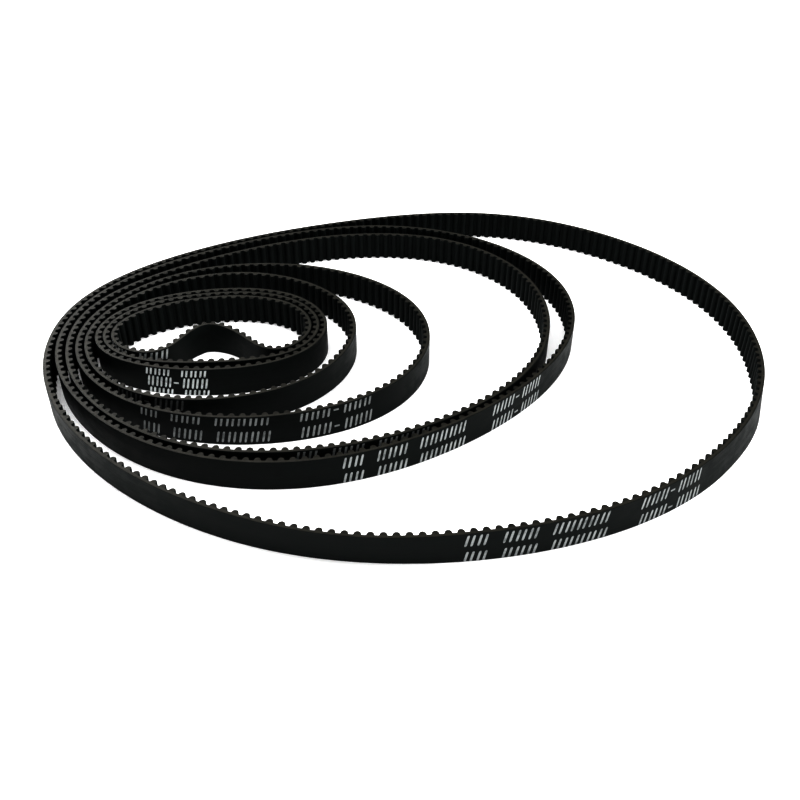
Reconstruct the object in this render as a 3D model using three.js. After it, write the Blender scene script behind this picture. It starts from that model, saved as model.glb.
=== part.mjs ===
// A nest of eight endless rubber timing belts, 2 mm pitch and 6 mm wide, standing on edge inside one another.
// Millimetres, +Z up. The origin is on the floor, under the middle of the largest belt.
// Each belt is a backing, a tension cord band and a toothed inner layer, as bonded layers of one loop.
import * as THREE from 'three';

// Belt section, measured from the pitch line, which runs in the middle of the cords. Outwards is positive.
const PITCH = 2;
const WIDTH = 6;
const BACK_FACE = 0.376;
const CORD_RADIUS = 0.1;
const LAND = -0.254;
const TOOTH_TIP = -1.004;
const BOND = 0.03;            // film of adhesive between the cord band and the rubber on each side of it

// One tooth, as shares of the pitch from its root: flank, tip, flank, then the land up to the next tooth.
const TIP_START = 0.18;
const TIP_END = 0.5;
const TOOTH_END = 0.68;

// Each belt: its teeth, the straight chords that its loop is built with, and the handles of its loop.
// The loop is a closed cubic B-spline over the handles, anticlockwise from above, scaled to the pitch length.
const BELTS = [
  {
    name: 'belt_400',
    teeth: 200,
    chords: 50,
    handles: [
      [27.5, -56.5], [64.5, -32.5], [75, 8], [59.5, 40], [24, 61],
      [-17, 52], [-50.5, 36.5], [-75, 12], [-67.5, -28], [-25, -59],
    ],
  },
  {
    name: 'belt_300',
    teeth: 150,
    chords: 50,
    handles: [
      [-14.5, -42.5], [16.5, -25.5], [37, 0], [35.5, 28], [13.5, 48],
      [-15, 51], [-44.5, 37.5], [-68.5, 18], [-71.5, -10.5], [-47.5, -37.5],
    ],
  },
  {
    name: 'belt_280',
    teeth: 140,
    chords: 47,
    handles: [
      [-11.5, -37.5], [13.5, -25.5], [30.5, -5], [31, 24.5], [11.5, 46],
      [-21.5, 45.5], [-53.5, 27.5], [-70.5, 8.5], [-64.5, -18.5], [-40.5, -38],
    ],
  },
  {
    name: 'belt_200',
    teeth: 100,
    chords: 50,
    handles: [
      [-26.25, -29.25], [-3, -21.25], [7.75, -2.5], [1.25, 18.75], [-21.75, 31.5],
      [-50.25, 28.5], [-67, 8.5], [-65.5, -10.5], [-50, -26],
    ],
  },
  {
    name: 'belt_158',
    teeth: 79,
    chords: 40,
    handles: [
      [-40.25, -24.25], [-17.5, -18.5], [-7.25, 1.25], [-15.25, 19.25],
      [-35.5, 28], [-57, 19.5], [-67, 0], [-57, -18],
    ],
  },
  {
    name: 'belt_122',
    teeth: 61,
    chords: 61,
    handles: [
      [-37.75, -14], [-19.5, -9], [-13.75, 5.25], [-24.25, 18.25],
      [-42.75, 18.5], [-59, 11.5], [-64, -1], [-56.25, -10.75],
    ],
  },
  {
    name: 'belt_112',
    teeth: 56,
    chords: 56,
    handles: [
      [-37, -10.5], [-21, -8], [-15.5, 4.5], [-24.5, 16.5],
      [-41, 17], [-56.5, 11.5], [-63, -0.5], [-54, -10.5],
    ],
  },
  {
    name: 'belt_110',
    teeth: 55,
    chords: 55,
    handles: [
      [-43, 5], [-36.5, 4.5], [-29, -5.5], [-23, -6], [-17.5, 2.5],
      [-23.5, 14], [-40, 16], [-57, 9], [-60.5, -1.5], [-53, -8],
      [-45.5, -6],
    ],
  },
];

// Moulded black rubber on the back, slightly greyer where the belt was cut to width, glass cords inside.
const BACKING_LOOK = { color: '#17191a', roughness: 0.55, metalness: 0 };
const CORD_LOOK = { color: '#cfcab8', roughness: 0.5, metalness: 0 };
const TEETH_LOOK = { color: '#1d1e1f', roughness: 0.75, metalness: 0 };

const STEPS_PER_HANDLE = 120;

// The point of a closed uniform cubic B-spline at a place given in handles from the first one.
function splinePoint(handles, place) {
  const first = Math.floor(place);
  const t = place - first;
  const weights = [
    (1 - t) ** 3 / 6,
    (3 * t ** 3 - 6 * t ** 2 + 4) / 6,
    (-3 * t ** 3 + 3 * t ** 2 + 3 * t + 1) / 6,
    t ** 3 / 6,
  ];
  const point = new THREE.Vector2();
  weights.forEach((weight, k) => {
    const [x, y] = handles[(first + k + handles.length) % handles.length];
    point.add(new THREE.Vector2(x, y).multiplyScalar(weight));
  });
  return point;
}

// The belt's pitch line as a polygon: its corners lie on the scaled spline, a whole number of teeth apart.
function pitchPolygon({ teeth, chords, handles }) {
  const samples = [];
  for (let i = 0; i <= handles.length * STEPS_PER_HANDLE; i += 1) {
    samples.push(splinePoint(handles, i / STEPS_PER_HANDLE));
  }
  const lengths = [0];
  for (let i = 1; i < samples.length; i += 1) {
    lengths.push(lengths[i - 1] + samples[i].distanceTo(samples[i - 1]));
  }
  const total = lengths[lengths.length - 1];
  const scale = (teeth * PITCH) / total;
  const middle = new THREE.Vector2();
  handles.forEach(([x, y]) => middle.add(new THREE.Vector2(x, y).divideScalar(handles.length)));

  const corners = [];
  let k = 1;
  for (let i = 0; i < chords; i += 1) {
    const tooth = Math.round((i * teeth) / chords);
    const target = (tooth / teeth) * total;
    while (lengths[k] < target) k += 1;
    const share = (target - lengths[k - 1]) / (lengths[k] - lengths[k - 1]);
    const point = samples[k - 1].clone().lerp(samples[k], share);
    point.sub(middle).multiplyScalar(scale).add(middle);
    corners.push({ point, tooth });
  }
  return corners;
}

// Gives each corner the vector that moves it when both chords at it move one millimetre outwards.
function addOutwards(corners) {
  const count = corners.length;
  const outwardOfChord = corners.map(({ point }, i) => {
    const along = corners[(i + 1) % count].point.clone().sub(point).normalize();
    return new THREE.Vector2(along.y, -along.x);
  });
  corners.forEach((corner, i) => {
    const before = outwardOfChord[(i + count - 1) % count];
    const after = outwardOfChord[i];
    corner.outwards = before.clone().add(after).divideScalar(1 + before.dot(after));
  });
}

// The point on a chord, a share of the way along it, moved outwards by an offset from the pitch line.
function offsetPoint(corners, chord, share, offset) {
  const from = corners[chord];
  const to = corners[(chord + 1) % corners.length];
  const point = from.point.clone().lerp(to.point, share);
  return point.addScaledVector(from.outwards.clone().lerp(to.outwards, share), offset);
}

// A plain loop at one offset from the pitch line.
function smoothLoop(corners, offset) {
  return corners.map((corner, i) => offsetPoint(corners, i, 0, offset));
}

// The toothed loop: lands along the chords, with a trapezoid tooth standing inwards on every pitch.
function toothedLoop(corners, teeth) {
  const points = [];
  corners.forEach((corner, i) => {
    const nextTooth = i + 1 < corners.length ? corners[i + 1].tooth : teeth;
    const count = nextTooth - corner.tooth;
    for (let k = 0; k < count; k += 1) {
      const at = (place, offset) => offsetPoint(corners, i, (k + place) / count, offset);
      points.push(at(0, LAND), at(TIP_START, TOOTH_TIP), at(TIP_END, TOOTH_TIP), at(TOOTH_END, LAND));
    }
  });
  return points;
}

// A closed band as wide as the belt, between an outer and an inner loop.
function band(name, outer, inner, look) {
  const shape = new THREE.Shape(outer);
  shape.holes.push(new THREE.Path(inner));
  const geometry = new THREE.ExtrudeGeometry(shape, { depth: WIDTH, bevelEnabled: false });
  const mesh = new THREE.Mesh(geometry, new THREE.MeshStandardMaterial(look));
  mesh.name = name;
  return mesh;
}

function makeBelt(belt) {
  const corners = pitchPolygon(belt);
  addOutwards(corners);
  const loop = (offset) => smoothLoop(corners, offset);
  const group = new THREE.Group();
  group.add(
    band(`${belt.name}_backing`, loop(BACK_FACE), loop(CORD_RADIUS + BOND), BACKING_LOOK),
    band(`${belt.name}_tension_cord`, loop(CORD_RADIUS), loop(-CORD_RADIUS), CORD_LOOK),
    band(`${belt.name}_teeth`, loop(-CORD_RADIUS - BOND), toothedLoop(corners, belt.teeth), TEETH_LOOK),
  );
  return group;
}

const nest = new THREE.Group();
BELTS.forEach((belt) => nest.add(makeBelt(belt)));

export default nest;
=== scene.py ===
# Eight endless rubber timing belts, 2 mm pitch and 6 mm wide, which stand on edge inside one another.
# Lengths in this script are millimetres until a mesh, lamp or camera is made from them, which is in metres.
import math

import bpy
import numpy as np
from mathutils import Matrix, Vector


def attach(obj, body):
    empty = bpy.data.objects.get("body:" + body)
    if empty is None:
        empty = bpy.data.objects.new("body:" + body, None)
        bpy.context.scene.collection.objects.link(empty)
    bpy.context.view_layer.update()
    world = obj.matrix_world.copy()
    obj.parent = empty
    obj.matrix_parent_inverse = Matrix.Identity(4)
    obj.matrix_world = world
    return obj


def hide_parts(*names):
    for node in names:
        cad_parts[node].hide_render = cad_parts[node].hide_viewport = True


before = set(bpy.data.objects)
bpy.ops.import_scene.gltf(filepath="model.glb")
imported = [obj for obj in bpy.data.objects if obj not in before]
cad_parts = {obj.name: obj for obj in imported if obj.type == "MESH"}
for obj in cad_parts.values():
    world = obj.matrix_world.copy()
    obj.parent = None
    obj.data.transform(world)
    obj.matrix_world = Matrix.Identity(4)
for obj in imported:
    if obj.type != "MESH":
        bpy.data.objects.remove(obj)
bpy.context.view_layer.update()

MM = 0.001

# -------------------------------------------------------------------------------------------------- camera
CAMERA_PLACE = (-0.8, -158.5, 107.36)
CAMERA_PITCH = 36.62
CAMERA_ROLL = -0.49
CAMERA_LENS = 41.84
SENSOR_WIDTH = 36
NEAREST_SEEN = 5


def add_camera():
    """The camera looks along +Y and down at the nest, and is turned a little about its own axis."""
    pitch = math.radians(CAMERA_PITCH)
    roll = math.radians(CAMERA_ROLL)
    level = Vector((1, 0, 0))
    rise = Vector((0, math.sin(pitch), math.cos(pitch)))
    behind = Vector((0, -math.cos(pitch), math.sin(pitch)))
    right = math.cos(roll) * level - math.sin(roll) * rise
    up = math.sin(roll) * level + math.cos(roll) * rise
    data = bpy.data.cameras.new("camera")
    data.lens = CAMERA_LENS
    data.sensor_width = SENSOR_WIDTH
    data.clip_start = NEAREST_SEEN * MM
    camera = bpy.data.objects.new("camera", data)
    turn = Matrix((right, up, behind)).transposed().to_4x4()
    camera.matrix_world = Matrix.Translation(Vector(CAMERA_PLACE) * MM) @ turn
    bpy.context.scene.collection.objects.link(camera)
    bpy.context.scene.camera = camera


add_camera()

# ---------------------------------------------------------------------------------------------- belt sizes
PITCH = 2.0
WIDTH = 6.0
BACK_FACE = 0.376       # distances from the pitch line, outwards
LAND = -0.254
BOND_GAP = 0.004        # between the backing and the toothed layer, at their shared face
EDGE_ROUND = 0.05
EDGE_ANGLES = (90, 60, 30, 0)   # degrees round the edge, from the cut face to the back

# The curved tooth: a round tip, bowed flanks and a root fillet, all tangent to one another.
TOOTH_HEIGHT = 0.75
TIP_RADIUS = 0.555
FLANK_RADIUS = 1.0
FLANK_CENTRE = 0.4      # beyond the middle of the tooth, at the height of the land
FILLET_RADIUS = 0.15
TIP_STEPS = 6
FLANK_STEPS = 3
FILLET_STEPS = 4
STIFF_HEIGHT = 0.3      # above this height a tooth keeps its shape where the belt bends
FIRST_TOOTH = 0.68      # middle of the first tooth, along the pitch line

# The cord groove in the backing and in the toothed layer, and the cord wound in it.
GROOVE_DEPTH = 0.13
GROOVE_EDGE = 0.35      # from each cut edge
CORD_RADIUS = 0.1
CORD_FIRST = 0.55       # from the cut edges to the middles of the cord's two ends
CORD_TURNS = 11
CORD_STEP = 0.6         # between points along the cord
CORD_SIDES = 6

BACK_STEP = 0.4         # between points along the back
STEPS_PER_HANDLE = 240
CREASE = 35             # degrees between faces from which an edge is drawn sharp
CORD_CREASE = 70        # the same for the cord, whose few sides are drawn as round

# Handles of the closed cubic B-spline that each pitch line follows, seen from above, anticlockwise.
BELTS = {
    "belt_400": [
        (27.5, -56.5), (64.5, -32.5), (75, 8), (59.5, 40), (24, 61),
        (-17, 52), (-50.5, 36.5), (-75, 12), (-67.5, -28), (-25, -59),
    ],
    "belt_300": [
        (-14.5, -42.5), (16.5, -25.5), (37, 0), (35.5, 28), (13.5, 48),
        (-15, 51), (-44.5, 37.5), (-68.5, 18), (-71.5, -10.5), (-47.5, -37.5),
    ],
    "belt_280": [
        (-11.5, -37.5), (13.5, -25.5), (30.5, -5), (31, 24.5), (11.5, 46),
        (-21.5, 45.5), (-53.5, 27.5), (-70.5, 8.5), (-64.5, -18.5), (-40.5, -38),
    ],
    "belt_200": [
        (-26.25, -29.25), (-3, -21.25), (7.75, -2.5), (1.25, 18.75), (-21.75, 31.5),
        (-50.25, 28.5), (-67, 8.5), (-65.5, -10.5), (-50, -26),
    ],
    "belt_158": [
        (-40.25, -24.25), (-17.5, -18.5), (-7.25, 1.25), (-15.25, 19.25),
        (-35.5, 28), (-57, 19.5), (-67, 0), (-57, -18),
    ],
    "belt_122": [
        (-37.75, -14), (-19.5, -9), (-13.75, 5.25), (-24.25, 18.25),
        (-42.75, 18.5), (-59, 11.5), (-64, -1), (-56.25, -10.75),
    ],
    "belt_112": [
        (-37, -10.5), (-21, -8), (-15.5, 4.5), (-24.5, 16.5),
        (-41, 17), (-56.5, 11.5), (-63, -0.5), (-54, -10.5),
    ],
    "belt_110": [
        (-43, 5), (-36.5, 4.5), (-29, -5.5), (-23, -6), (-17.5, 2.5),
        (-23.5, 14), (-40, 16), (-57, 9), (-60.5, -1.5), (-53, -8),
        (-45.5, -6),
    ],
}

# Where a belt leans: the distance along it of the middle of the lean, how far the lean reaches to each side,
# and how far outwards the bottom and the top edge stand there.
LEANS = {
    "belt_400": [(323, 24, 0, 0.5), (394, 32, 0, -0.8), (12, 18, 0.55, 0)],
    "belt_200": [(188, 40, 0.4, 0.1)],
    "belt_110": [(106, 9.5, 1.8, 0.7)],
}


class PitchLine:
    """A belt's pitch line at its true length, with its outward direction, by the distance along it."""

    def __init__(self, name):
        handles = np.array(BELTS[name], float)
        count = len(handles)
        place = np.arange(count * STEPS_PER_HANDLE) / STEPS_PER_HANDLE
        first = place.astype(int)
        t = (place - first)[:, None]
        near = [handles[(first + k) % count] for k in range(4)]
        # six times the weights of the four nearest handles, and how fast those change with t
        weights = ((1 - t) ** 3, 3 * t**3 - 6 * t**2 + 4, -3 * t**3 + 3 * t**2 + 3 * t + 1, t**3)
        slopes = (-3 * (1 - t) ** 2, 9 * t**2 - 12 * t, -9 * t**2 + 6 * t + 3, 3 * t**2)
        points = sum(w * p for w, p in zip(weights, near)) / 6
        along = sum(w * p for w, p in zip(slopes, near))
        along /= np.linalg.norm(along, axis=1)[:, None]
        self.length = float(name.split("_")[1])     # a belt is named after its pitch length
        self.leans = LEANS.get(name, [])
        drawn = np.linalg.norm(np.roll(points, -1, axis=0) - points, axis=1)
        middle = handles.mean(axis=0)
        points = middle + (points - middle) * self.length / drawn.sum()
        self.teeth = round(self.length / PITCH)
        self.stations = np.concatenate([[0], np.cumsum(drawn)]) * self.length / drawn.sum()
        outwards = np.column_stack([along[:, 1], -along[:, 0]])
        self.points = np.vstack([points, points[:1]])
        self.outwards = np.vstack([outwards, outwards[:1]])

    def at(self, distance, offset):
        """Points at distances along the line, at one offset outwards from it or at one for each."""
        wrapped = np.mod(distance, self.length)
        x, y, out_x, out_y = (
            np.interp(wrapped, self.stations, column)
            for column in (*self.points.T, *self.outwards.T)
        )
        size = np.hypot(out_x, out_y)
        return np.stack([x + out_x / size * offset, y + out_y / size * offset], axis=-1)

    def standing(self, plan, distance, height):
        """Points over a plan at these distances and heights, moved outwards where the belt leans."""
        shift = np.zeros(np.shape(distance))
        for middle, reach, bottom, top in self.leans:
            away = np.abs(np.mod(distance - middle + self.length / 2, self.length) - self.length / 2)
            share = np.cos(math.pi / 2 * np.clip(away / reach, 0, 1)) ** 2
            shift += share * (bottom + (top - bottom) * height / WIDTH)
        outwards = self.at(distance, 1) - self.at(distance, 0)
        return np.concatenate([plan + outwards * shift[..., None], height[..., None]], axis=-1)


# --------------------------------------------------------------------------------------------- mesh making
def add_piece(
    name, points, faces, materials, body, face_materials=None, offsets=None, node=None, crease=CREASE
):
    """
    A mesh piece from points in millimetres, which rides on a body and may replace a CAD node.
    The offsets of its points from the pitch line are kept for its material.
    """
    mesh = bpy.data.meshes.new(name)
    mesh.from_pydata((points * MM).tolist(), [], faces)
    for material in materials:
        mesh.materials.append(material)
    if face_materials is not None:
        mesh.polygons.foreach_set("material_index", face_materials)
    if offsets is not None:
        mesh.attributes.new("offset", "FLOAT", "POINT").data.foreach_set("value", offsets)
    mesh.polygons.foreach_set("use_smooth", [True] * len(mesh.polygons))
    mesh.set_sharp_from_angle(angle=math.radians(crease))
    mesh.update()
    piece = bpy.data.objects.new(name, mesh)
    bpy.context.scene.collection.objects.link(piece)
    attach(piece, body)
    if node:
        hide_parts(node)
    return piece


def ring_of_rails(rails):
    """The closed skin between rails, which are closed loops of equal counts in order round the section."""
    count = len(rails[0])
    along = np.arange(count)
    after = (along + 1) % count
    faces = []
    for k in range(len(rails)):
        here = k * count
        there = (k + 1) % len(rails) * count
        faces += np.column_stack([here + along, here + after, there + after, there + along]).tolist()
    return np.concatenate(rails), faces


def cut_strips(heights):
    """Whether the strip of skin after each rail lies in a cut edge, from the rails' heights."""
    after = heights[1:] + heights[:1]
    return [height == next_height and height in (0, WIDTH) for height, next_height in zip(heights, after)]


def rail(line, plan, distance, height):
    """One row of points round the belt, all at the same height before the belt leans."""
    return line.standing(plan, distance, np.full(len(plan), float(height)))


# ------------------------------------------------------------------------------------------------- backing
def rounded_section():
    """
    Corners of the backing's section as (offset, height), from the shared face round its outer side.
    Each rounded edge has a corner just before it and one just after it, which keep the flats flat.
    """
    corners = [
        (0, 0),
        (0, GROOVE_EDGE),
        (GROOVE_DEPTH, GROOVE_EDGE),
        (GROOVE_DEPTH, WIDTH - GROOVE_EDGE),
        (0, WIDTH - GROOVE_EDGE),
        (0, WIDTH),
        (BACK_FACE - 2 * EDGE_ROUND, WIDTH),
    ]
    outer = [(BACK_FACE - EDGE_ROUND * (1 - math.cos(a)), WIDTH - EDGE_ROUND * (1 - math.sin(a)))
             for a in np.radians(EDGE_ANGLES)]
    corners += outer
    corners.append((BACK_FACE, WIDTH - 2 * EDGE_ROUND))
    corners.append((BACK_FACE, 2 * EDGE_ROUND))
    corners += [(offset, WIDTH - height) for offset, height in reversed(outer)]
    corners.append((BACK_FACE - 2 * EDGE_ROUND, 0))
    return corners


def add_backing(name, line, materials):
    """The smooth outer layer: one closed ring with a groove for the cord in its inner face."""
    section = rounded_section()
    count = round(line.length / BACK_STEP)
    distance = np.arange(count) * line.length / count
    rails = [rail(line, line.at(distance, offset), distance, height) for offset, height in section]
    points, faces = ring_of_rails(rails)
    cut = cut_strips([height for _, height in section])
    return add_piece(
        f"{name}_back", points, faces, materials, name,
        face_materials=np.repeat(cut, count).astype(int),
        offsets=np.repeat([offset for offset, _ in section], count),
        node=f"{name}_backing",
    )


# --------------------------------------------------------------------------------------------------- teeth
def half_tooth():
    """
    Rows from the tip to the land: the distance from the tooth's middle, the height above the land and
    the direction out of the rubber.
    """
    tip_centre = TOOTH_HEIGHT - TIP_RADIUS
    shoulder = math.atan2(tip_centre, FLANK_CENTRE)
    root = math.asin(FILLET_RADIUS / (FLANK_RADIUS + FILLET_RADIUS))
    fillet_centre = (FLANK_RADIUS + FILLET_RADIUS) * math.cos(root) - FLANK_CENTRE
    rows = []
    for a in np.linspace(math.pi / 2, shoulder, TIP_STEPS, endpoint=False):
        x = TIP_RADIUS * math.cos(a)
        rows.append((x, tip_centre + TIP_RADIUS * math.sin(a), math.cos(a), math.sin(a)))
    for a in np.linspace(shoulder, root, FLANK_STEPS, endpoint=False):
        x = FLANK_RADIUS * math.cos(a) - FLANK_CENTRE
        rows.append((x, FLANK_RADIUS * math.sin(a), math.cos(a), math.sin(a)))
    for a in np.linspace(root, math.pi / 2, FILLET_STEPS + 1):
        x = fillet_centre - FILLET_RADIUS * math.cos(a)
        rows.append((x, FILLET_RADIUS * (1 - math.sin(a)), math.cos(a), math.sin(a)))
    return np.array(rows)


def tooth_row(line, inset):
    """
    The middles of the teeth along the line, and one tooth's distances from its middle and heights above
    the land. The tooth is drawn into the rubber by the inset.
    """
    half = half_tooth()
    mirrored = half[:0:-1] * (-1, 1, -1, 1)
    land = np.array([[-PITCH / 2, 0, 0, 1]])
    tooth = np.concatenate([land, mirrored, half])
    x = tooth[:, 0] - inset * tooth[:, 2]
    height = tooth[:, 1] - inset * tooth[:, 3]
    middles = FIRST_TOOTH + PITCH * np.arange(line.teeth)
    return middles, x, height


def toothed_plan(line, inset):
    """
    Plan of the toothed side, with its points' distances and offsets.
    A tooth is bent with the belt at its root and keeps its shape at its tip.
    """
    middles, x, height = tooth_row(line, inset)
    distance = middles[:, None] + x
    bent = line.at(distance, LAND - height)
    middle = line.at(middles, 0)
    outwards = line.at(middles, 1) - middle
    forwards = np.stack([-outwards[:, 1], outwards[:, 0]], axis=-1)
    rigid = middle[:, None] + forwards[:, None] * x[:, None] + outwards[:, None] * (LAND - height)[:, None]
    share = np.clip(height / STIFF_HEIGHT, 0, 1)
    share = (share * share * (3 - 2 * share))[:, None]
    plan = (bent * (1 - share) + rigid * share).reshape(-1, 2)
    return plan, distance.ravel(), np.tile(LAND - height, line.teeth)


def add_teeth(name, line, materials):
    """The toothed inner layer: one closed ring with a groove for the cord in its outer face."""
    plan, distance, plan_offsets = toothed_plan(line, 0)
    inner_plan, _, inner_offsets = toothed_plan(line, EDGE_ROUND)
    web_offsets = np.full(len(distance), -BOND_GAP)
    groove_offsets = np.full(len(distance), -GROOVE_DEPTH)
    web = line.at(distance, web_offsets)
    groove = line.at(distance, groove_offsets)
    rails = [
        (inner_plan, inner_offsets, 0),
        (plan, plan_offsets, EDGE_ROUND),
        (plan, plan_offsets, WIDTH - EDGE_ROUND),
        (inner_plan, inner_offsets, WIDTH),
        (web, web_offsets, WIDTH),
        (web, web_offsets, WIDTH - GROOVE_EDGE),
        (groove, groove_offsets, WIDTH - GROOVE_EDGE),
        (groove, groove_offsets, GROOVE_EDGE),
        (web, web_offsets, GROOVE_EDGE),
        (web, web_offsets, 0),
    ]
    points, faces = ring_of_rails([rail(line, place, distance, height) for place, _, height in rails])
    cut = cut_strips([height for _, _, height in rails])
    return add_piece(
        f"{name}_toothed_layer", points, faces, materials, name,
        face_materials=np.repeat(cut, len(plan)).astype(int),
        offsets=np.concatenate([offsets for _, offsets, _ in rails]),
        node=f"{name}_teeth",
    )


# ---------------------------------------------------------------------------------------------------- cord
def add_cord(name, line, material):
    """One cord wound round the belt from edge to edge, with flat ends."""
    count = round(CORD_TURNS * line.length / CORD_STEP)
    share = np.linspace(0, 1, count)
    distance = share * CORD_TURNS * line.length
    height = CORD_FIRST + share * (WIDTH - 2 * CORD_FIRST)
    rows = []
    for k in range(CORD_SIDES):
        a = 2 * math.pi * k / CORD_SIDES
        plan = line.at(distance, np.full(count, CORD_RADIUS * math.cos(a)))
        rows.append(line.standing(plan, distance, height + CORD_RADIUS * math.sin(a)))
    along = np.arange(count - 1)
    after = along + 1
    faces = []
    for k in range(CORD_SIDES):
        here = k * count
        there = (k + 1) % CORD_SIDES * count
        faces += np.column_stack([here + along, here + after, there + after, there + along]).tolist()
    faces.append([k * count for k in range(CORD_SIDES)])
    faces.append([(k + 1) * count - 1 for k in reversed(range(CORD_SIDES))])
    return add_piece(
        f"{name}_wound_cord", np.concatenate(rows), faces, [material], name,
        node=f"{name}_tension_cord", crease=CORD_CREASE,
    )


# ------------------------------------------------------------------------------------------- printed marks
MARK_HEIGHT = 2.4
MARK_STROKE = 0.42       # width of a stroke
MARK_PAIR = 0.95         # between the two strokes of a mark
MARK_ADVANCE = 2.04      # from one mark to the next
MARK_SLANT = 0.2         # sideways per millimetre upwards
MARK_PROUD = 0.012       # how far the ink stands out of the back
MARK_SUNK = 0.01         # and how far it reaches into it
MARK_LOWEST = 0.06       # a row that runs past these heights is cut there
MARK_HIGHEST = 5.75
DASH_LENGTH = 1.0
DASH_HEIGHT = 0.38
DASH_STEPS = 6
MARK_ROWS = 8            # rows of points up a stroke, besides those at its round ends
END_STEPS = (0.03, 0.3)  # shares of the round end's radius where its outline has points
END_TIP = 0.98           # the very tip is as wide as the round end is at this share of its radius

# A print in letters: # is a mark of two strokes, - a dash and _ a gap.
LONG = "##_###_#####"
SHORT = "###-###"

# Each print is where it starts along the belt, its marks and the heights of the bottoms of its rows.
PRINTS = {
    "belt_400": [(341.3, LONG, (3.3, -0.25)), (371.7, SHORT, (3.4, -0.15))],
    "belt_300": [(271.1, LONG, (3.2, -0.3)), (301.7, SHORT, (3.4, -0.1))],
    "belt_280": [(246.7, LONG, (4.15, 1.1))],
    "belt_200": [(155.5, LONG, (4.1, 0.5)), (184.9, SHORT, (4.0, 0.4))],
    "belt_158": [(122.2, SHORT, (3.4, 0.3))],
    "belt_122": [(92.8, SHORT, (4.2, 1.55, -1.15))],
    "belt_110": [(80.0, SHORT, (3.6, 0.7))],
}
# The share of their usual distances at which the marks stand on a belt with a narrower print.
NARROWER = {"belt_122": 0.86}
# The ink's colour where it has worn thin and where it is whole, and how light it is on each belt.
INK_THIN = (0.22, 0.235, 0.235)
INK_WHOLE = (0.46, 0.48, 0.48)
# Each belt's lightness is painted light and shade: one ink, made lighter or darker as light falls on it.
INK_PAINTED_LIGHT = {
    "belt_400": 0.78, "belt_300": 0.95, "belt_280": 0.85, "belt_200": 0.75,
    "belt_158": 0.3, "belt_122": 1.7, "belt_110": 1.2,
}


def stroke(start, bottom):
    """
    Grid of (distance, height) over one slanted stroke with round ends, cut where it leaves the belt, or
    None where less of it is left than it is wide.
    """
    low = max(bottom, MARK_LOWEST)
    high = min(bottom + MARK_HEIGHT, MARK_HIGHEST)
    if high - low < MARK_STROKE:
        return None
    radius = MARK_STROKE / 2
    end_steps = radius * np.array(END_STEPS)
    height = np.unique(np.concatenate([
        np.linspace(low, high, MARK_ROWS),
        np.clip(bottom + end_steps, low, high),
        np.clip(bottom + MARK_HEIGHT - end_steps, low, high),
    ]))
    to_end = np.minimum(height - bottom, bottom + MARK_HEIGHT - height)
    beyond_centre = np.clip(1 - np.clip(to_end, 0, radius) / radius, 0, END_TIP)
    half_width = radius * np.sqrt(1 - beyond_centre**2)
    middle = start + MARK_SLANT * (height - bottom)
    distance = middle[:, None] + half_width[:, None] * np.array([-1, 0, 1])
    return distance, np.repeat(height[:, None], 3, axis=1)


def dash(start, bottom):
    """Grid of (distance, height) over one short level dash half way up a mark, or None off the belt."""
    middle = bottom + MARK_HEIGHT / 2
    if middle - DASH_HEIGHT < MARK_LOWEST or middle + DASH_HEIGHT > MARK_HIGHEST:
        return None
    distance = start + MARK_PAIR / 2 + np.linspace(-0.5, 0.5, DASH_STEPS) * DASH_LENGTH
    height = middle + np.array([-0.5, 0.5]) * DASH_HEIGHT
    return np.tile(distance, (2, 1)), np.repeat(height[:, None], DASH_STEPS, axis=1)


def slab(line, distance, height):
    """Closed thin solid over a grid, standing slightly proud of the belt's back."""
    rows, columns = distance.shape
    layers = []
    for offset in (BACK_FACE - MARK_SUNK, BACK_FACE + MARK_PROUD):
        layers.append(line.standing(line.at(distance, offset), distance, height).reshape(-1, 3))
    size = rows * columns
    faces = []
    for r in range(rows - 1):
        for c in range(columns - 1):
            a = r * columns + c
            faces.append([a, a + columns, a + columns + 1, a + 1])
            faces.append([size + a, size + a + 1, size + a + columns + 1, size + a + columns])
    rim = list(range(columns))
    rim += [r * columns + columns - 1 for r in range(1, rows)]
    rim += [(rows - 1) * columns + c for c in range(columns - 2, -1, -1)]
    rim += [r * columns for r in range(rows - 2, 0, -1)]
    for a, b in zip(rim, rim[1:] + rim[:1]):
        faces.append([a, b, size + b, size + a])
    return np.concatenate(layers), faces


def mark_grids(name):
    """Grids over every stroke and dash that is printed on a belt."""
    advance = MARK_ADVANCE * NARROWER.get(name, 1)
    pair = MARK_PAIR * NARROWER.get(name, 1)
    grids = []
    for start, marks, bottoms in PRINTS[name]:
        for bottom in bottoms:
            for k, mark in enumerate(marks):
                place = start + k * advance
                if mark == "#":
                    grids += [stroke(place, bottom), stroke(place + pair, bottom)]
                elif mark == "-":
                    grids.append(dash(place, bottom))
    return [grid for grid in grids if grid is not None]


def add_marks(name, line, material):
    """All the printed marks of a belt as one piece."""
    points, faces, used = [], [], 0
    for distance, height in mark_grids(name):
        more, skin = slab(line, distance, height)
        points.append(more)
        faces += [[i + used for i in face] for face in skin]
        used += len(more)
    add_piece(f"{name}_print_marks", np.concatenate(points), faces, [material], name)


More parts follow.
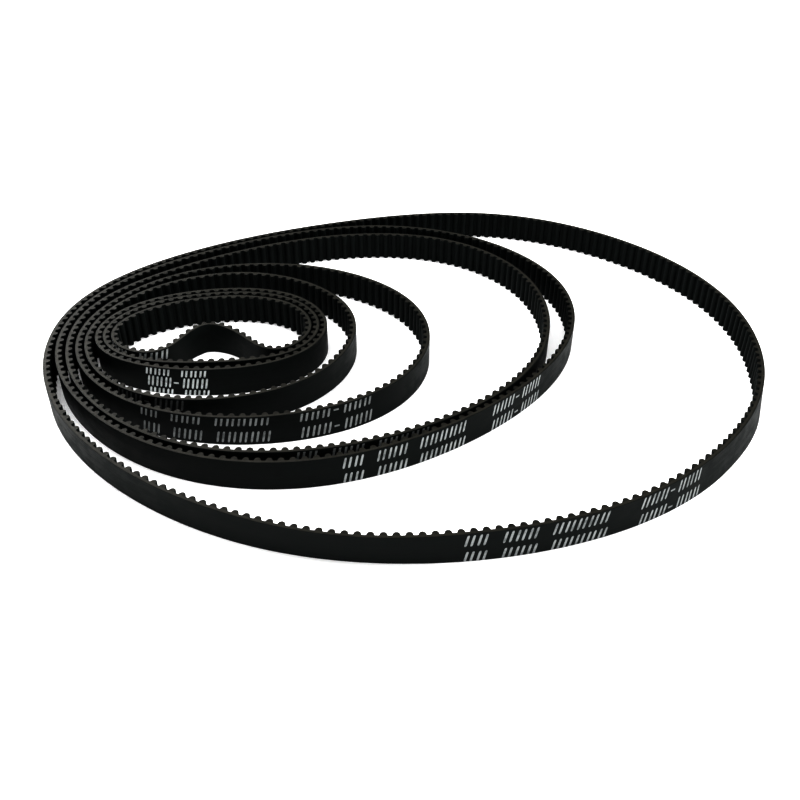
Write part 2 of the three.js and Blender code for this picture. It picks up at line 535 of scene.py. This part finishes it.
# ----------------------------------------------------------------------------------------------- materials
class Nodes:
    """Short ways to add nodes to a material whose coordinates are millimetres on the object."""

    def __init__(self, name):
        self.material = bpy.data.materials.new(name)
        self.material.use_nodes = True
        self.tree = self.material.node_tree
        self.shader = self.tree.nodes["Principled BSDF"]
        scale = self.add("ShaderNodeVectorMath", operation="SCALE")
        self.tree.links.new(self.add("ShaderNodeTexCoord").outputs["Object"], scale.inputs[0])
        scale.inputs["Scale"].default_value = 1 / MM
        self.millimetres = scale.outputs[0]

    def add(self, kind, **settings):
        """A new node of this kind."""
        made = self.tree.nodes.new(kind)
        for key, value in settings.items():
            setattr(made, key, value)
        return made

    def put(self, socket, value):
        """Give a socket a constant, or a link from another socket."""
        if isinstance(value, bpy.types.NodeSocket):
            self.tree.links.new(value, socket)
        else:
            socket.default_value = value

    def stretched(self, factors):
        """The place in millimetres times these factors along X, Y and Z."""
        made = self.add("ShaderNodeVectorMath", operation="MULTIPLY")
        self.put(made.inputs[0], self.millimetres)
        self.put(made.inputs[1], factors)
        return made.outputs[0]

    def noise(self, factors, detail=3.0, roughness=0.55):
        """Noise between 0 and 1, with this many features to the millimetre along X, Y and Z."""
        made = self.add("ShaderNodeTexNoise")
        self.put(made.inputs["Vector"], self.stretched(factors))
        self.put(made.inputs["Scale"], 1.0)
        self.put(made.inputs["Detail"], detail)
        self.put(made.inputs["Roughness"], roughness)
        return made.outputs["Fac"]

    def between(self, value, low, high, to_low=0.0, to_high=1.0):
        """The value's run from low to high as a run from to_low to to_high, smooth and clamped."""
        made = self.add("ShaderNodeMapRange", interpolation_type="SMOOTHSTEP")
        self.put(made.inputs["Value"], value)
        self.put(made.inputs["From Min"], low)
        self.put(made.inputs["From Max"], high)
        self.put(made.inputs["To Min"], to_low)
        self.put(made.inputs["To Max"], to_high)
        return made.outputs["Result"]

    def maths(self, operation, first, second):
        made = self.add("ShaderNodeMath", operation=operation)
        self.put(made.inputs[0], first)
        self.put(made.inputs[1], second)
        return made.outputs[0]

    def blend(self, share, first, second):
        """The sum of this share of one value and the rest of another."""
        part = self.maths("MULTIPLY", first, share)
        rest = self.maths("MULTIPLY", second, 1 - share)
        return self.maths("ADD", part, rest)

    def mixed(self, share, first, second):
        """The first colour turned into the second by this share, through the node's colour sockets."""
        made = self.add("ShaderNodeMix", data_type="RGBA")
        self.put(made.inputs[0], share)
        self.put(made.inputs[6], first)
        self.put(made.inputs[7], second)
        return made.outputs[2]

    def specks(self, cell, radius, kept):
        """1 in sparse specks of this radius. Each cell of this size may hold one, and this share is kept."""
        made = self.add("ShaderNodeTexVoronoi")
        self.put(made.inputs["Vector"], self.stretched((1 / cell,) * 3))
        self.put(made.inputs["Scale"], 1.0)
        near = self.between(made.outputs["Distance"], radius / cell, radius / cell * SPECK_CORE)
        split = self.add("ShaderNodeSeparateColor")
        self.put(split.inputs[0], made.outputs["Color"])
        chosen = self.maths("LESS_THAN", split.outputs[0], kept)
        return self.maths("MULTIPLY", near, chosen)

    def bump(self, *layers):
        """Relief from pairs of (pattern, height in millimetres)."""
        normal = None
        for pattern, height in layers:
            made = self.add("ShaderNodeBump")
            self.put(made.inputs["Height"], pattern)
            self.put(made.inputs["Strength"], 1.0)
            self.put(made.inputs["Distance"], height * MM)
            if normal is not None:
                self.put(made.inputs["Normal"], normal)
            normal = made.outputs["Normal"]
        self.put(self.shader.inputs["Normal"], normal)

    def finish(self, colour, roughness, specular):
        """The material, with these put into its shader."""
        self.put(self.shader.inputs["Base Color"], colour)
        self.put(self.shader.inputs["Roughness"], roughness)
        self.put(self.shader.inputs["Specular IOR Level"], specular)
        return self.material


def rgb(red, green, blue):
    """An opaque colour as a material's sockets take it."""
    return (red, green, blue, 1.0)


WHITE = rgb(1, 1, 1)
DUST = rgb(0.16, 0.16, 0.15)
SPECK_CORE = 0.6        # share of a speck's radius within which it is whole

# Each material's colour where its pattern is darkest and where it is lightest.
BACK_COLOURS = (rgb(0.0035, 0.0060, 0.0054), rgb(0.0075, 0.0110, 0.0102))
CUT_COLOURS = (rgb(0.0085, 0.0082, 0.0058), rgb(0.0250, 0.0240, 0.0185))
TOOTH_COLOURS = (rgb(0.0040, 0.0066, 0.0060), rgb(0.0100, 0.0140, 0.0130))
CORD_COLOURS = (rgb(0.42, 0.38, 0.28), rgb(0.68, 0.65, 0.55))
BOND_COLOUR = rgb(0.0420, 0.0405, 0.0330)
BOND_SHARE = 0.5        # how strongly it tints the middle of the bond


def back_rubber():
    """Ground rubber back: black with a cool tint, satin, with a mottle and faint lengthwise streaks."""
    n = Nodes("back_rubber")
    mottle = n.noise((0.35, 0.35, 0.5))
    streak = n.noise((0.08, 0.08, 3.0), detail=4.0)
    grain = n.noise((14, 14, 14), detail=2.0)
    tone = n.between(n.blend(0.6, mottle, streak), 0.35, 0.65)
    colour = n.mixed(tone, *BACK_COLOURS)
    colour = n.mixed(n.specks(cell=2.6, radius=0.06, kept=0.12), colour, DUST)
    n.bump((grain, 0.006), (streak, 0.01))
    return n.finish(colour, roughness=n.between(tone, 0.0, 1.0, to_low=0.46, to_high=0.58), specular=0.14)


def cut_rubber():
    """Slit edge of the belt: matte, warm grey-brown, lighter at the bond and torn slightly by the knife."""
    n = Nodes("cut_rubber")
    patch = n.noise((0.4, 0.4, 0.4), detail=4.0)
    tear = n.noise((5, 5, 2), detail=4.0, roughness=0.7)
    offset = n.add("ShaderNodeAttribute", attribute_name="offset").outputs["Fac"]
    bond = n.maths("MULTIPLY", n.between(offset, -0.35, -0.05), n.between(offset, 0.25, 0.0))
    tone = n.between(n.blend(0.5, patch, tear), 0.38, 0.62)
    colour = n.mixed(tone, *CUT_COLOURS)
    colour = n.mixed(n.maths("MULTIPLY", bond, BOND_SHARE), colour, BOND_COLOUR)
    colour = n.mixed(n.specks(cell=1.6, radius=0.06, kept=0.2), colour, DUST)
    n.bump((tear, 0.03))
    return n.finish(colour, roughness=n.between(tear, 0.3, 0.7, to_low=0.42, to_high=0.56), specular=0.2)


def tooth_rubber():
    """Moulded toothed side: black, matte, with fine ribs that run across the belt."""
    n = Nodes("tooth_rubber")
    mottle = n.noise((0.5, 0.5, 0.5))
    rib = n.noise((6, 6, 0.15), detail=3.0)
    grain = n.noise((12, 12, 12), detail=2.0)
    tone = n.between(n.blend(0.5, mottle, rib), 0.38, 0.62)
    colour = n.mixed(tone, *TOOTH_COLOURS)
    colour = n.mixed(n.specks(cell=2.2, radius=0.06, kept=0.15), colour, DUST)
    n.bump((grain, 0.008), (rib, 0.012))
    return n.finish(colour, roughness=n.between(tone, 0.0, 1.0, to_low=0.6, to_high=0.75), specular=0.15)


def cord_fibre():
    """Treated glass yarn with a fine lay."""
    n = Nodes("cord_fibre")
    lay = n.noise((9, 9, 20), detail=3.0)
    colour = n.mixed(lay, *CORD_COLOURS)
    n.bump((lay, 0.02))
    return n.finish(colour, roughness=n.between(lay, 0.3, 0.7, to_low=0.45, to_high=0.65), specular=0.4)


def print_ink(name, painted_light_level):
    """Silver-grey ink that has worn thin in patches, so that the rubber shows through."""
    n = Nodes(name)
    wear = n.noise((0.45, 0.45, 0.6), detail=4.0, roughness=0.6)
    fine = n.noise((7, 7, 7), detail=3.0)
    worn = n.between(n.blend(0.7, wear, fine), 0.36, 0.56)
    # Painted light and shade: the belt's level makes the same ink lighter or darker.
    thin, whole = (rgb(*(painted_light_level * level for level in levels)) for levels in (INK_THIN, INK_WHOLE))
    colour = n.mixed(worn, thin, whole)
    n.bump((fine, 0.006))
    return n.finish(colour, roughness=n.between(fine, 0.3, 0.7, to_low=0.5, to_high=0.65), specular=0.3)


# --------------------------------------------------------------------------------------------------- belts
def add_belts():
    cut = cut_rubber()
    back = [back_rubber(), cut]
    teeth = [tooth_rubber(), cut]
    cord = cord_fibre()
    for name in BELTS:
        line = PitchLine(name)
        add_backing(name, line, back)
        add_teeth(name, line, teeth)
        add_cord(name, line, cord)
        if name in PRINTS:
            # each belt's ink gets its own painted light and shade
            add_marks(name, line, print_ink(f"{name}_ink", INK_PAINTED_LIGHT[name]))


add_belts()

# -------------------------------------------------------------------------------------------------- studio
FLOOR_SIZE = 2000
FLOOR_DROP = 0.02               # below the belts' lower edges
FLOOR_COLOUR = rgb(0.93, 0.93, 0.93)
FLOOR_ROUGHNESS = 0.9
FLOOR_SPECULAR = 0.1
FLOOR_WHOLE = 400               # distance from the middle to which the floor is solid
FLOOR_GONE = 950                # and at which it has faded into the surround
SURROUND_EDGE = (0.2, 0.35)     # sines of the heights where the surround starts and stops dimming
SURROUND_LEVEL = (1.2, 0.3)     # its strengths below and above them
FLOOR_GLOW = 0.12               # light that comes up through the floor, which fills the shadows
CONTRAST = 0.6                  # gamma of the picture, which deepens its dark tones

# Each lamp's name, place, width, depth and watts.
LAMPS = (
    ("top_light", (0, 0, 1200), 1800, 700, 27.5),
    ("back_left_light", (-440, 530, 400), 300, 300, 4.8),
    ("right_light", (800, -150, 220), 400, 400, 3.9),
    ("left_light", (-800, -250, 220), 400, 400, 0.1),
)


def add_floor():
    """A pale floor that fades into the surround, which is as pale below and at the horizon."""
    half = FLOOR_SIZE / 2
    mesh = bpy.data.meshes.new("floor")
    corners = [(-half, -half), (half, -half), (half, half), (-half, half)]
    mesh.from_pydata([(x * MM, y * MM, -FLOOR_DROP * MM) for x, y in corners], [], [[0, 1, 2, 3]])
    n = Nodes("pale_floor")
    away = n.add("ShaderNodeVectorMath", operation="LENGTH")
    n.put(away.inputs[0], n.millimetres)
    n.put(n.shader.inputs["Alpha"], n.between(away.outputs["Value"], FLOOR_GONE, FLOOR_WHOLE))
    n.shader.inputs["Emission Color"].default_value = WHITE
    n.shader.inputs["Emission Strength"].default_value = FLOOR_GLOW
    mesh.materials.append(n.finish(FLOOR_COLOUR, FLOOR_ROUGHNESS, FLOOR_SPECULAR))
    floor = bpy.data.objects.new("floor", mesh)
    bpy.context.scene.collection.objects.link(floor)


def add_surround():
    """The studio round the floor: pale up to a low height, dim above it, the same all the way round."""
    world = bpy.data.worlds.new("studio")
    world.use_nodes = True
    tree = world.node_tree
    split = tree.nodes.new("ShaderNodeSeparateXYZ")
    tree.links.new(tree.nodes.new("ShaderNodeTexCoord").outputs["Generated"], split.inputs[0])
    level = tree.nodes.new("ShaderNodeMapRange")
    level.interpolation_type = "SMOOTHSTEP"
    tree.links.new(split.outputs["Z"], level.inputs["Value"])
    sockets = ("From Min", "From Max", "To Min", "To Max")
    for socket, value in zip(sockets, (*SURROUND_EDGE, *SURROUND_LEVEL)):
        level.inputs[socket].default_value = value
    tree.links.new(level.outputs["Result"], tree.nodes["Background"].inputs["Strength"])
    tree.nodes["Background"].inputs["Color"].default_value = WHITE
    bpy.context.scene.world = world


def add_soft_light(name, place, width, depth, watts):
    """A rectangular lamp that faces the middle of the nest."""
    data = bpy.data.lights.new(name, "AREA")
    data.shape = "RECTANGLE"
    data.size = width * MM
    data.size_y = depth * MM
    data.energy = watts
    lamp = bpy.data.objects.new(name, data)
    where = Vector(place) * MM
    lamp.location = where
    lamp.rotation_euler = (-where).to_track_quat("-Z", "Y").to_euler()
    bpy.context.scene.collection.objects.link(lamp)


def add_studio():
    add_floor()
    add_surround()
    for lamp in LAMPS:
        add_soft_light(*lamp)
    view = bpy.context.scene.view_settings
    view.view_transform = "Standard"
    view.gamma = CONTRAST


add_studio()
